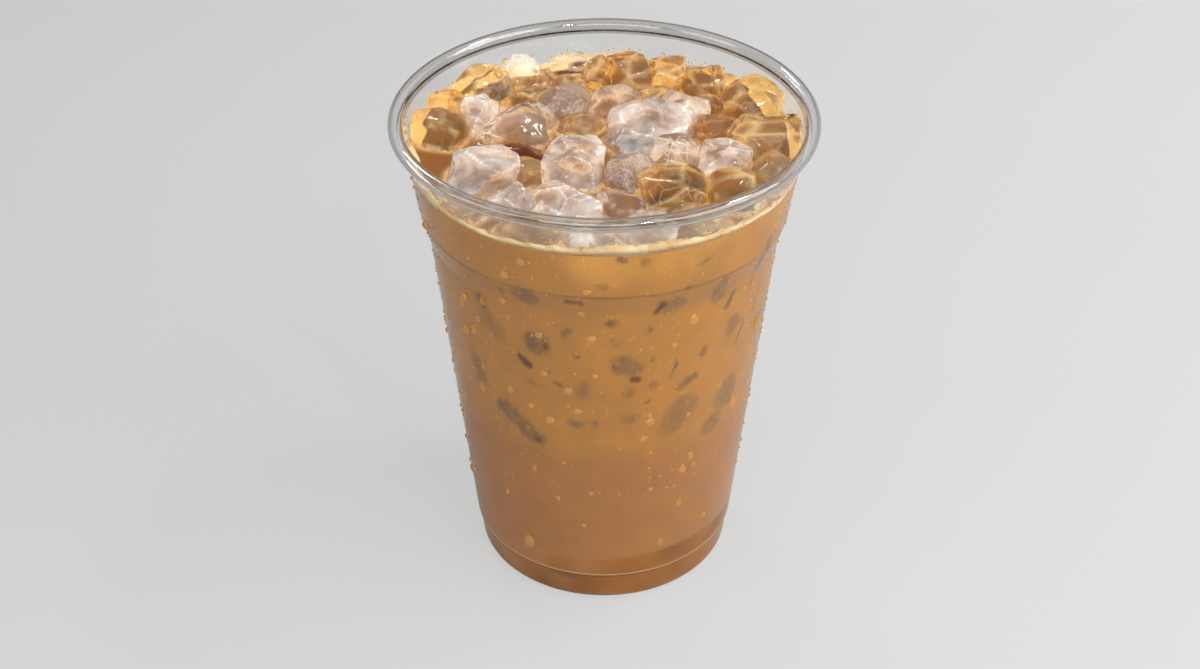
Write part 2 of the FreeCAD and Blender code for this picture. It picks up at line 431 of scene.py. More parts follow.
@dataclass(frozen=True)
class MilkCoffee(Finish):
    """Coffee with condensed milk: opaque, caramel at the top and pinker lower down.

    Ice that lies close behind the wall greys it softly, and shows as a dark spot where it touches.
    At the surface the milk gathers as cream round the ice; in the wells below it is amber, darkened
    by painted shade.
    """

    name: str = "milk coffee"
    upper: str = "#B07930"
    lower: str = "#A66E33"
    glow: str = "#C8923F"
    # greys the wall near sunk ice and in mottles, and is also the painted shade of the shoulder line
    grey_and_shade: str = "#664E32"
    at_ice: str = "#5E300A"
    cream: str = "#CBAA7A"
    bare_top: str = "#7C4E28"
    # the wells under the ice: the coffee's amber with painted shade, darker as a well is deeper
    well: str = "#84592A"
    deep_well: str = "#3E200C"
    # painted light: the amber low on the wall, strongest on the lit right
    amber: str = "#905600"
    swirl: Spread = Spread(size=24.0, finer=3.0)
    sway: float = 6.0          # the swirls of milk shift the layers' heights within this range
    milkier: Spread = Spread(45.0, 54.0, along=Along.HEIGHT)
    glow_height: Spread = Spread(97.0, 108.0, along=Along.HEIGHT)
    glow_swirl: Spread = Spread(0.35, 0.65)
    mottle: Spread = Spread(0.3, 0.7, 0.0, 0.16, size=7.0, finer=4.0)
    shoulder_at: float = 97.2  # painted shade: the shoulder's bend shows as a thin darker line
    shoulder_half: float = 0.6
    shoulder_swirl: Spread = Spread(0.3, 0.7, 0.25, 0.8)
    uneven_ice: Spread = Spread(0.25, 0.6, 0.6, 1.15, size=2.4, finer=3.0)
    uneven_cream: Spread = Spread(0.25, 0.6, 0.55, 1.0, size=2.5, finer=3.0)
    well_turn: float = 0.35    # the mark of a well turns from its first colour to its second here
    ripple: Spread = Spread(size=3.0)
    ripple_rise: float = 0.05
    roughness: float = 0.3
    gloss: float = 0.2         # the sheet lies against the drink and takes most of its gloss
    ior: float = 1.35

    def surface(self, tree: Tree) -> Socket:
        """Layers of colour, from the height and from the marks that the mesh carries.

        Args:
            tree: the material's node tree.

        Returns:
            The finished surface.
        """
        swirl = self.swirl.source(tree)
        sway = {0: swirl, 1: self.sway * MM, 2: -self.sway / 2 * MM}
        levels = {
            0: self.milkier.source(tree), 1: add_node(tree, "Math", sway, operation="MULTIPLY_ADD"),
        }
        level = add_node(tree, "Math", levels, operation="ADD")
        marks = {
            name: Spread(along=Along.MARK, mark=name).share(tree)
            for name in ("amber", "ice_near", "ice_touch", "top", "well", "cream")
        }
        colour: Colour = self.lower
        for above, *shares in (
            (self.upper, self.milkier.share(tree, level)),
            (self.glow, self.glow_height.share(tree, level), self.glow_swirl.share(tree, swirl)),
            (self.grey_and_shade, self.mottle.share(tree)),
            # painted amber light low on the wall
            (self.amber, marks["amber"]),
            # painted shade along the shoulder's bend
            (self.grey_and_shade, *level_line(tree, self.shoulder_at, self.shoulder_half),
             self.shoulder_swirl.share(tree, swirl)),
            (self.grey_and_shade, marks["ice_near"], self.uneven_ice.share(tree)),
            (self.at_ice, marks["ice_touch"]),
            (self.bare_top, marks["top"]),
            # painted shade in the wells, darkest in the deepest
            (self.well, Spread(0.0, self.well_turn).share(tree, marks["well"])),
            (self.deep_well, Spread(self.well_turn, 1.0).share(tree, marks["well"])),
            (self.cream, marks["cream"], self.uneven_cream.share(tree)),
        ):
            colour = laid_over(tree, colour, above, *shares)
        ripples = {"Height": self.ripple.source(tree), "Distance": self.ripple_rise * MM}
        return add_node(tree, "BsdfPrincipled", {
            "Base Color": colour, "Roughness": self.roughness, "IOR": self.ior,
            "Specular IOR Level": self.gloss, "Normal": add_node(tree, "Bump", ripples),
        })


@dataclass(frozen=True)
class SettledCoffee(Finish):
    """Coffee that has settled in the foot: amber, with milkier clouds; above the foot line its amber
    is the painted amber light on the right.
    """

    name: str = "coffee, settled"
    amber: str = "#985C00"
    dark: str = "#6E4000"
    milky: str = "#A66E33"
    line: str = "#DDB078"      # painted highlight: the foot line, where the stepped sheet gathers light
    line_share: float = 0.85
    # painted shade: a dark line just below the foot line, under the step of the sheet
    shade_below_line: str = "#4A2806"
    below_share: float = 0.75
    line_at: float = 8.75      # the middle of the foot line and its half width, in millimetres
    line_half: float = 0.4
    below_drop: float = 2.2    # the painted dark line lies this many half widths below the foot line
    cloud: Spread = Spread(0.25, 0.65, size=14.0)
    ripple: Spread = Spread(size=4.0)
    ripple_rise: float = 0.08
    roughness: float = 0.25
    gloss: float = 0.2
    ior: float = 1.34

    def surface(self, tree: Tree) -> Socket:
        """Amber and dark in clouds, with milk where the mesh says so, and the foot line's painted
        highlight and painted shade.

        Args:
            tree: the material's node tree.

        Returns:
            The finished surface.
        """
        milk = Spread(along=Along.MARK, mark="milky").share(tree)
        below_at = self.line_at - self.below_drop * self.line_half
        colour: Colour = self.dark
        for above, *shares in (
            (self.amber, self.cloud.share(tree)),
            (self.milky, milk),
            (self.line, *level_line(tree, self.line_at, self.line_half, self.line_share)),
            (self.shade_below_line, *level_line(tree, below_at, self.line_half, self.below_share)),
        ):
            colour = laid_over(tree, colour, above, *shares)
        ripples = {"Height": self.ripple.source(tree), "Distance": self.ripple_rise * MM}
        return add_node(tree, "BsdfPrincipled", {
            "Base Color": colour, "Roughness": self.roughness, "IOR": self.ior,
            "Specular IOR Level": self.gloss, "Normal": add_node(tree, "Bump", ripples),
        })


@dataclass(frozen=True)
class MilkFroth(Finish):
    """Milk froth: pale cream, made of bubbles so small that it looks soft."""

    name: str = "milk froth"
    cream: str = "#D3BC92"
    tan: str = "#C09D68"
    cloud: Spread = Spread(0.35, 0.7, size=6.0, finer=3.0)
    bubble: float = 0.6        # real bubbles are about 0.2 mm; drawn coarser so that they show
    bubble_blend: float = 0.4
    bubble_rise: float = 0.12
    roughness: float = 0.55
    ior: float = 1.36

    def surface(self, tree: Tree) -> Socket:
        """Two creams in clouds, over a relief of bubbles.

        Args:
            tree: the material's node tree.

        Returns:
            The finished surface.
        """
        cells = add_node(
            tree, "TexVoronoi",
            {"Scale": per_mm(self.bubble), "Smoothness": self.bubble_blend,
             "Vector": add_node(tree, "TexCoord", out="Object")},
            "Distance", feature="SMOOTH_F1",
        )
        relief = add_node(tree, "Bump", {"Height": cells, "Distance": self.bubble_rise * MM})
        return add_node(tree, "BsdfPrincipled", {
            "Base Color": laid_over(tree, self.cream, self.tan, self.cloud.share(tree)),
            "Roughness": self.roughness, "IOR": self.ior, "Normal": relief,
        })


@dataclass(frozen=True)
class Ice(Finish):
    """Broken ice, wet: clear inside, with whitish haze and cracks, a painted highlight along its
    broken edges, and a film of coffee at the waterline.
    """

    name: str = "ice, clear"
    clear: str = "#F6EEE4"     # colour that the clear ice leaves at each face
    flaw_and_highlight: str = "#DDD1C6"      # scattered light in haze and cracks, and the painted highlight along broken edges
    film: str = "#CDAA78"      # milk coffee that clings low on the lump
    shadow: str = "#F4EFE9"
    haze_size: float = 6.0
    haze: float = 0.12         # scattering of the cloudy parts
    crack_size: float = 4.5    # from one crack to the next
    crack: float = 0.4         # scattering of a crack
    crack_width: float = 0.05  # as a share of the distance between cracks
    bend_size: float = 5.0     # the cracks wander by bend millimetres over this distance
    bend: float = 2.5
    edge: float = 0.3          # painted highlight along a broken edge, where it catches the light
    chip: float = 2.0          # width of the ripples on a broken face
    chip_rise: float = 0.12
    chip_strength: float = 0.7
    uneven_film: Spread = Spread(0.3, 0.6, 0.2, 0.9, size=2.2, finer=3.0)
    smooth: float = 0.01       # roughness of sound ice, and of flawed ice
    rough: float = 0.1
    ior: float = 1.31

    def flaws_and_edge_highlight(self, tree: Tree, spot: Socket) -> Socket:
        """Haze, cracks and a painted highlight along broken edges, added up.

        Args:
            tree: the material's node tree.
            spot: the place on the lump, bent so that no crack runs straight.

        Returns:
            How strongly the scattering and the painted highlight show, from 0 to 1.
        """
        cloud = Spread(size=self.haze_size, finer=3.0).source(tree)
        inputs = {"Scale": per_mm(self.crack_size), "Vector": spot}
        seams = add_node(tree, "TexVoronoi", inputs, "Distance", feature="DISTANCE_TO_EDGE")
        cracks = {
            0: Spread(self.crack_width, 0.0, 0.0, self.crack).share(tree, seams),
            1: Spread(0.5, 0.62, size=1.7 * self.haze_size).share(tree),
        }
        # a painted highlight along the broken edges that the mesh marks, broken up in clouds
        edges = {0: Spread(along=Along.MARK, mark="edge").share(tree), 1: self.edge}
        parts = (
            add_node(tree, "Math", cracks, operation="MULTIPLY", use_clamp=True),
            add_node(tree, "Math", {
                0: add_node(tree, "Math", edges, operation="MULTIPLY", use_clamp=True),
                1: Spread(0.35, 0.6, 0.3, 1.0).share(tree, cloud),
            }, operation="MULTIPLY", use_clamp=True),
        )
        flaw_and_highlight_share = Spread(0.3, 0.7, 0.35 * self.haze, 1.4 * self.haze).share(tree, cloud)
        for part in parts:
            flaw_and_highlight_share = add_node(tree, "Math", {0: flaw_and_highlight_share, 1: part}, operation="ADD", use_clamp=True)
        return flaw_and_highlight_share

    def surface(self, tree: Tree) -> Socket:
        """Clear where it is sound, hazy and cracked elsewhere, with a painted highlight along broken
        edges, filmed where it meets the drink.

        Args:
            tree: the material's node tree.

        Returns:
            The finished surface.
        """
        spot = add_node(tree, "TexCoord", out="Object")
        inputs = {"Scale": per_mm(self.bend_size), "Detail": 2.0, "Vector": spot}
        bend = {0: add_node(tree, "TexNoise", inputs, "Color"), "Scale": self.bend * MM}
        bent = add_node(tree, "VectorMath", {
            0: spot, 1: add_node(tree, "VectorMath", bend, operation="SCALE"),
        }, operation="ADD")
        flaw_and_highlight_share = self.flaws_and_edge_highlight(tree, bent)
        films = {
            0: Spread(along=Along.MARK, mark="film").share(tree), 1: self.uneven_film.share(tree),
        }
        film = add_node(tree, "Math", films, operation="MULTIPLY", use_clamp=True)
        # the film, the haze and cracks, and the painted edge highlight all take from the clearness
        scatter = add_node(tree, "Math", {0: flaw_and_highlight_share, 1: film}, operation="MAXIMUM", use_clamp=True)
        colour = laid_over(tree, self.clear, self.flaw_and_highlight, Spread(0.0, 0.4).share(tree, flaw_and_highlight_share))
        inputs = {"Scale": per_mm(self.chip), "Smoothness": 0.25, "Vector": bent}
        ripples = add_node(tree, "TexVoronoi", inputs, "Distance", feature="SMOOTH_F1")
        relief = {
            "Height": ripples, "Distance": self.chip_rise * MM, "Strength": self.chip_strength,
        }
        shader = add_node(tree, "BsdfPrincipled", {
            "Base Color": laid_over(tree, colour, self.film, film),
            "IOR": self.ior,
            "Transmission Weight": add_node(
                tree, "Math", {0: 1.0, 1: scatter}, operation="SUBTRACT"),
            "Roughness": Spread(0.0, 0.6, self.smooth, self.rough).share(tree, flaw_and_highlight_share),
            "Normal": add_node(tree, "Bump", relief),
        })
        return lamps_through(tree, shader, self.shadow)


class IceKind(Enum):
    """The sorts of lump: how clear each one is, and how much coffee has got into it."""

    CLEAR = Ice()
    GOLDEN = Ice(
        name="ice, soaked golden", clear="#F4E1B3", flaw_and_highlight="#E6C88E", shadow="#EFDDB8",
        haze=0.06, crack=0.2, edge=0.4, chip=3.0, chip_rise=0.08,
    )
    FROSTED = Ice(
        name="ice, frosted", clear="#F8F2EA", flaw_and_highlight="#F3EBE2", film="#CDB391", shadow="#F1ECE8",
        haze=0.31, crack=0.12, crack_size=5.0, edge=0.5, chip=2.6, chip_rise=0.5, rough=0.14,
    )
    GRAINY = Ice(
        name="ice, crushed", clear="#E9DFD6", flaw_and_highlight="#C8B6A6", film="#C9A878", shadow="#E2D8CE",
        haze_size=0.9, haze=0.32, crack=0.1, crack_size=1.3, chip=0.7, chip_rise=0.22, rough=0.2,
    )
    CREAMY = Ice(
        name="ice, cream coated", clear="#EAD2A8", flaw_and_highlight="#CFAC7C", film="#C9A470", shadow="#E6D7C0",
        haze=0.25, crack=0.2, chip=2.5, chip_rise=0.16,
    )
    MELTED = Ice(name="ice, melted smooth", haze=0.08, crack=0.1, edge=0.35)
    BROWN = Ice(
        name="ice, brown", clear="#E2C198", flaw_and_highlight="#AE8460", shadow="#D3AC80",
        haze=0.12, crack=0.3, crack_size=2.5, chip=1.8, chip_rise=0.16,
    )
    # partly painted shade: a dark lump that stands for a shaded gap between lumps, as well as deep
    # coffee seen through the ice
    DARK = Ice(
        name="ice, dark with coffee and painted shade", clear="#B87848", flaw_and_highlight="#8A5A3A", film="#C49C70", shadow="#A8683C",
        haze=0.05, crack=0.2, crack_size=2.5, chip=1.8, chip_rise=0.16,
    )


# ---- The cup -------------------------------------------------------------------------------
@dataclass
class PetCup:
    """The cup: one sheet of PET with a rolled rim, a stacking shoulder and a stepped foot."""

    sheet: float = 0.4
    roll_diameter: float = 3.2
    roll_end_deg: float = -115.0
    band_flare: float = 6.1
    shoulder_drop: float = 23.0
    shoulder_step: float = 1.85
    shoulder_height: float = 5.8
    foot_line_z: float = 8.5
    foot_line_r: float = 32.5
    foot_step: float = 0.5
    foot_taper: float = 0.8
    standing_width: float = 3.7
    base_rise: float = 6.0
    base_slope: float = 3.0
    foot_corner: float = 2.2
    shoulder_round: float = 2.5
    small_round: float = 0.8
    segments: int = 288
    arc_steps: int = 6
    roll_steps: int = 22
    row_gap: float = 4.0
    base_width: float = 6.0    # what lies further in than this from the foot line isn't wall

    def __post_init__(self) -> None:
        """Takes the rim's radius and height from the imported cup."""
        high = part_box("cup")[1]
        self.rim_r = high.x / MM
        self.height = high.z / MM
        self.roll_r = self.roll_diameter / 2
        self.roll_centre = (self.rim_r - self.roll_r, self.height - self.roll_r)

    def corners(self) -> list[Corner]:
        """The corners of the sheet's outer face, from the base up to the rim.

        Returns:
            For each corner its radius, its height and its rounding.
        """
        top = (self.rim_r - self.band_flare, self.height - self.shoulder_drop)
        ledge = (top[0] - self.shoulder_step, top[1] - self.shoulder_height)
        foot_r = self.foot_line_r - self.foot_step
        standing_r = foot_r - self.foot_taper
        inner_r = standing_r - self.standing_width
        reach = self.roll_r - self.sheet
        dr, dz = self.roll_centre[0] - top[0], self.roll_centre[1] - top[1]
        bearing = math.atan2(dz, dr) + math.asin(reach / math.hypot(dr, dz))
        rim = (
            self.roll_centre[0] - reach * math.sin(bearing),
            self.roll_centre[1] + reach * math.cos(bearing),
        )
        return [
            (0, self.base_rise, 0),
            (inner_r - self.base_slope, self.base_rise, 2 * self.small_round),
            (inner_r, 0, self.small_round),
            (standing_r, 0, self.foot_corner),
            (foot_r, self.foot_line_z - self.foot_step, self.small_round / 4),
            (self.foot_line_r, self.foot_line_z, self.small_round / 2),
            (*ledge, self.shoulder_round),
            (*top, self.shoulder_round / 2),
            (*rim, 0),
        ]

    def moved(self, corners: list[Corner], distance: float) -> list[Corner]:
        """The same corners on a line that lies to the left, with concentric roundings.

        Args:
            corners: the corners of a face, as from corners().
            distance: how far to the left of it the new line lies.

        Returns:
            The new line's corners.
        """
        ways = [unit(b[0] - a[0], b[1] - a[1]) for a, b in zip(corners, corners[1:])]
        made = []
        for i, (r, z, rounding) in enumerate(corners):
            (ir, iz), (our, ouz) = ways[max(i - 1, 0)], ways[min(i, len(ways) - 1)]
            turn = ir * ouz - iz * our
            share = distance / (1 + ir * our + iz * ouz)
            corner = max(rounding - math.copysign(distance, turn), 0) if rounding else 0
            made.append((r - (iz + ouz) * share, z + (ir + our) * share, corner))
        return made

    def sampled(self, corners: list[Corner]) -> Path:
        """Points along the corners, with each rounding as an arc and long runs divided.

        Args:
            corners: the corners of a face.

        Returns:
            The face's profile.
        """
        path: Path = [corners[0][:2]]
        for before, (r, z, rounding), after in zip(corners, corners[1:], corners[2:]):
            back = unit(before[0] - r, before[1] - z)
            on = unit(after[0] - r, after[1] - z)
            half = math.acos(max(-1.0, min(1.0, back[0] * on[0] + back[1] * on[1]))) / 2
            if rounding <= 0 or half > math.pi / 2 - 1e-3:
                path.append((r, z))
                continue
            reach = rounding / math.tan(half)
            for k in range(self.arc_steps + 1):
                t = k / self.arc_steps
                start = (r + back[0] * reach * (1 - t), z + back[1] * reach * (1 - t))
                end = (r + on[0] * reach * t, z + on[1] * reach * t)
                path.append((start[0] * (1 - t) + end[0] * t, start[1] * (1 - t) + end[1] * t))
        path.append(corners[-1][:2])
        return self.divided(path)

    def divided(self, path: Path) -> Path:
        """Cuts runs that are longer than the row gap into equal steps.

        Args:
            path: a profile.

        Returns:
            The same profile with more points.
        """
        made = [path[0]]
        for (r0, z0), (r1, z1) in zip(path, path[1:]):
            steps = max(1, math.ceil(math.hypot(r1 - r0, z1 - z0) / self.row_gap))
            for k in range(1, steps + 1):
                made.append((r0 + (r1 - r0) * k / steps, z0 + (z1 - z0) * k / steps))
        return made

    def roll(self, start: tuple[float, float], radius: float) -> Path:
        """The rolled rim: clockwise over the top, from start to where the roll ends.

        Args:
            start: the end of the wall that the roll goes on from.
            radius: the roll's radius, on its inner or outer face.

        Returns:
            The roll's profile.
        """
        cr, cz = self.roll_centre
        first = math.atan2(start[1] - cz, start[0] - cr)
        last = math.radians(self.roll_end_deg)
        steps = self.roll_steps
        turns = [first + (last - first) * k / steps for k in range(1, steps + 1)]
        return [(cr + radius * math.cos(a), cz + radius * math.sin(a)) for a in turns]

    def outside(self) -> Path:
        """The outer face, from the middle of the base up to the rim."""
        return self.sampled(self.corners())

    def inside(self, into_wall: float = 0.0) -> Path:
        """The inner face, moved into_wall deeper into the sheet."""
        return self.sampled(self.moved(self.corners(), self.sheet - into_wall))

    def radius_at(self, path: Path, height: np.ndarray | float) -> np.ndarray:
        """The wall's radius at a height.

        Args:
            path: the profile of one of its faces.
            height: one height or many.

        Returns:
            The radius at each height.
        """
        wall = [(r, z) for r, z in path if r > self.foot_line_r - self.base_width]
        wall.sort(key=lambda p: p[1])
        return np.interp(height, [z for _, z in wall], [r for r, _ in wall])

    def build(self) -> None:
        """Makes the cup as one closed sheet."""
        outer, inner = self.outside(), self.inside()
        outer_roll = self.roll(outer[-1], self.roll_r - self.sheet)
        inner_roll = self.roll(inner[-1], self.roll_r)
        loop = outer + outer_roll + inner_roll[::-1] + inner[::-1]
        piece = lathe(loop, self.segments).to_object("pet_cup", sharp_deg=60)
        dress(piece, PetSheet().material(), "pet_cup", "cup")


# ---- Ice -----------------------------------------------------------------------------------
@dataclass
class IceLump:
    """One lump that floats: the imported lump's broken faces, worn round, dented and chipped."""

    node: str
    kind: IceKind
    seed: int
    detail: int = 4            # subdivisions of the ball that it is made from
    swell: float = 1.12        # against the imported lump, which keeps a wide gap to its neighbours
    kept_faces: float = 0.55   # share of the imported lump's faces that this one keeps
    lean: float = 0.25         # how far the sides of its outer block lean
    wear: float = 110.0        # higher keeps the edges sharper
    chips: int = 7             # small faces broken off the edges
    chip_near: float = 0.86    # a chip's distance from the middle, against what stood there
    chip_far: float = 0.97
    dents: int = 4             # scooped hollows, as ice breaks like glass
    dent_depth: float = 0.24
    dent_shares: tuple[float, float] = (0.4, 1.0)    # how much of that depth a dent has
    dent_widths: tuple[float, float] = (0.25, 0.5)    # in radians, seen from the middle
    dent_ways: tuple[float, float, float] = (-1, -1, -0.2)    # few dents are on the underside
    wall_gap: float = 0.3      # drink between the lump and the cup
    lump_size: float = 4.5     # unevenness of a face, in millimetres
    lump_rise: float = 0.3
    grain_size: float = 1.3
    grain_rise: float = 0.07
    film_height: float = 1.6   # how high the coffee clings above the surface of the drink
    film_full: float = 0.2     # below this height above it, the coffee covers the ice
    facing_up: float = 0.8     # faces that face up at least this much are always kept
    edge_shares: tuple[float, float] = (0.12, 0.5)    # what a neighbour face takes of an edge
    sharp_deg: float = 28.0

    def faces_of_node(self, chance: random.Random) -> tuple[np.ndarray, np.ndarray, np.ndarray]:
        """The flat faces that bound the lump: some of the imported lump's, a block's and chips.

        Args:
            chance: the lump's own source of chance.

        Returns:
            The lump's middle, its faces' directions and their distances from the middle.
        """
        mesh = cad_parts[self.node].data
        points = np.array([v.co for v in mesh.vertices]) / MM
        middle = (points.min(0) + points.max(0)) / 2
        half = (points.max(0) - points.min(0)) / 2 * self.swell
        seen, normals, reaches = [], [], []
        for face in mesh.polygons:
            normal = np.array(face.normal)
            reach = float(np.dot(points[face.vertices[0]] - middle, normal))
            if not any(np.dot(normal, n) > 0.999 for n in seen):
                seen.append(normal)
                if normal[2] > self.facing_up or chance.random() < self.kept_faces:
                    normals.append(normal)
                    reaches.append(max(reach * self.swell, 0.5))
        for axis in range(6):
            normal = np.array([chance.uniform(-self.lean, self.lean) for _ in range(3)])
            normal[axis % 3] = 1.0 if axis < 3 else -1.0
            normal /= np.linalg.norm(normal)
            normals.append(normal)
            reaches.append(float(half[axis % 3]))
        for _ in range(self.chips):
            normal = np.array([chance.gauss(0, 1) for _ in range(3)])
            normal /= np.linalg.norm(normal)
            stood = float(((points - middle) @ normal).max())
            normals.append(normal)
            reaches.append(stood * chance.uniform(self.chip_near, self.chip_far))
        return middle, np.array(normals), np.array(reaches)

    def build(self, level: float, cup: PetCup) -> tuple[np.ndarray, list[Sequence[int]]]:
        """Makes the lump.

        Args:
            level: the height of the drink's surface, in millimetres.
            cup: the cup that it floats in, which it stays clear of.

        Returns:
            Its points in millimetres and its faces.
        """
        chance = random.Random(self.seed)
        middle, normals, reaches = self.faces_of_node(chance)
        ball = bmesh.new()
        bmesh.ops.create_icosphere(ball, subdivisions=self.detail, radius=1.0)
        ways = np.array([v.co for v in ball.verts])
        faces = [[v.index for v in f.verts] for f in ball.faces]
        ball.free()
        ways /= np.linalg.norm(ways, axis=1)[:, None]
        shares = np.clip(ways @ normals.T / reaches, 0, None)
        powers = shares ** self.wear
        radius = powers.sum(1) ** (-1 / self.wear)
        # where two broken faces meet: marked for the painted highlight along the edges
        edges = smooth_step(*self.edge_shares, 1 - powers.max(1) / powers.sum(1))
        for _ in range(self.dents):
            way = Vector([chance.uniform(low, 1) for low in self.dent_ways]).normalized()
            width = chance.uniform(*self.dent_widths)
            turn = np.arccos(np.clip(ways @ np.array(way), -1, 1))
            depth = self.dent_depth * chance.uniform(*self.dent_shares)
            radius *= 1 - depth * np.exp(-(turn / width) ** 2)
        offset = Vector([chance.uniform(-50, 50) for _ in range(3)])
        points = middle + ways * radius[:, None]
        rise = np.array([self.unevenness(Vector(p) + offset) for p in points])
        points = middle + ways * (radius + rise)[:, None]
        free = cup.radius_at(cup.inside(), points[:, 2]) - self.wall_gap
        inward = np.minimum(1.0, free / np.hypot(points[:, 0], points[:, 1]))
        points[:, :2] *= inward[:, None]
        film = smooth_step(level + self.film_height, level + self.film_full, points[:, 2])
        surface = Surface(points, faces, {"film": film, "edge": edges})
        piece = surface.to_object(self.node + "_lump", self.sharp_deg)
        dress(piece, self.kind.value.material(), "ice", self.node)
        return points, faces

    def unevenness(self, point: Vector) -> float:
        """How far a point of a broken face stands out.

        Args:
            point: the point, in millimetres.

        Returns:
            The distance outwards, in millimetres.
        """
        broad = noise.noise(point / self.lump_size) * self.lump_rise
        fine = noise.noise(point / self.grain_size) * self.grain_rise
        return broad + fine


@dataclass
class FloatingIce:
    """All the lumps that float in the drink."""

    golden: tuple[int, ...] = (1, 3, 5, 6, 7, 8, 9, 10, 11, 12, 15, 19, 22, 23, 25, 36, 37)
    frosted: tuple[int, ...] = (2, 13, 20, 21, 29, 31, 34, 38, 39, 43, 44)
    grainy: tuple[int, ...] = (16, 32)
    creamy: tuple[int, ...] = (17, 26, 30, 35, 41, 42, 45)
    brown: tuple[int, ...] = (24, 28)
    dark: tuple[int, ...] = (27,)
    melted: tuple[int, ...] = (4, 40)
    worn: tuple[float, int, int] = (26.0, 3, 2)    # golden and melted ice: wear, chips, dents
    detailed: tuple[int, ...] = (1, 7, 8, 13, 14, 20, 21, 23, 25, 29, 31, 34, 36, 38, 39)
    first_seed: int = 100

    def kind_of(self, number: int) -> IceKind:
        """Which sort a lump is.

        Args:
            number: the lump's number.

        Returns:
            Its sort, which is clear for those that no list names.
        """
        for kind, numbers in (
            (IceKind.GOLDEN, self.golden), (IceKind.FROSTED, self.frosted),
            (IceKind.GRAINY, self.grainy), (IceKind.CREAMY, self.creamy),
            (IceKind.BROWN, self.brown), (IceKind.DARK, self.dark), (IceKind.MELTED, self.melted),
        ):
            if number in numbers:
                return kind
        return IceKind.CLEAR

    def build(self, level: float, cup: PetCup) -> BVHTree:
        """Makes every lump.

        Args:
            level: the height of the drink's surface, in millimetres.
            cup: the cup that they float in.

        Returns:
            A search tree of all their faces, in millimetres.
        """
        names = sorted(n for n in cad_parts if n.startswith("ice_"))
        points: list[np.ndarray] = []
        faces: list[list[int]] = []
        count = 0
        for name in names:
            number = int(name.split("_")[1])
            kind = self.kind_of(number)
            lump = IceLump(name, kind, self.first_seed + number)
            if number in self.detailed:
                lump.detail += 1
            if kind in (IceKind.GOLDEN, IceKind.MELTED):
                lump.wear, lump.chips, lump.dents = self.worn
            own_points, own_faces = lump.build(level, cup)
            points.append(own_points)
            faces += [[i + count for i in face] for face in own_faces]
            count += len(own_points)
        return BVHTree.FromPolygons(np.concatenate(points).tolist(), faces)


@dataclass(frozen=True)
class SunkLump:
    """Ice under the surface, close behind the wall: where it is and how it shows through.

    It shows as a long round patch, whose length is turned by tilt degrees from level.
    """

    bearing: float
    height: float
    length: float
    width: float
    tilt: float
    strength: float
    softness: float

    def shade(self, bearings: np.ndarray, heights: np.ndarray, radius: np.ndarray) -> np.ndarray:
        """How strongly the lump shows at points of the wall.

        Args:
            bearings: the points' bearings.
            heights: their heights.
            radius: their distances from the axis.

        Returns:
            A share from 0 to 1 for each point.
        """
        across = np.radians(wrapped(bearings - self.bearing)) * radius
        up = heights - self.height
        tilt = math.radians(self.tilt)
        along = across * math.cos(tilt) + up * math.sin(tilt)
        beside = up * math.cos(tilt) - across * math.sin(tilt)
        core = max(self.length - self.width, 0.0) / 2
        away = np.hypot(np.maximum(np.abs(along) - core, 0.0), beside) - self.width / 2
        return self.strength * smooth_step(self.softness, -self.softness, away)


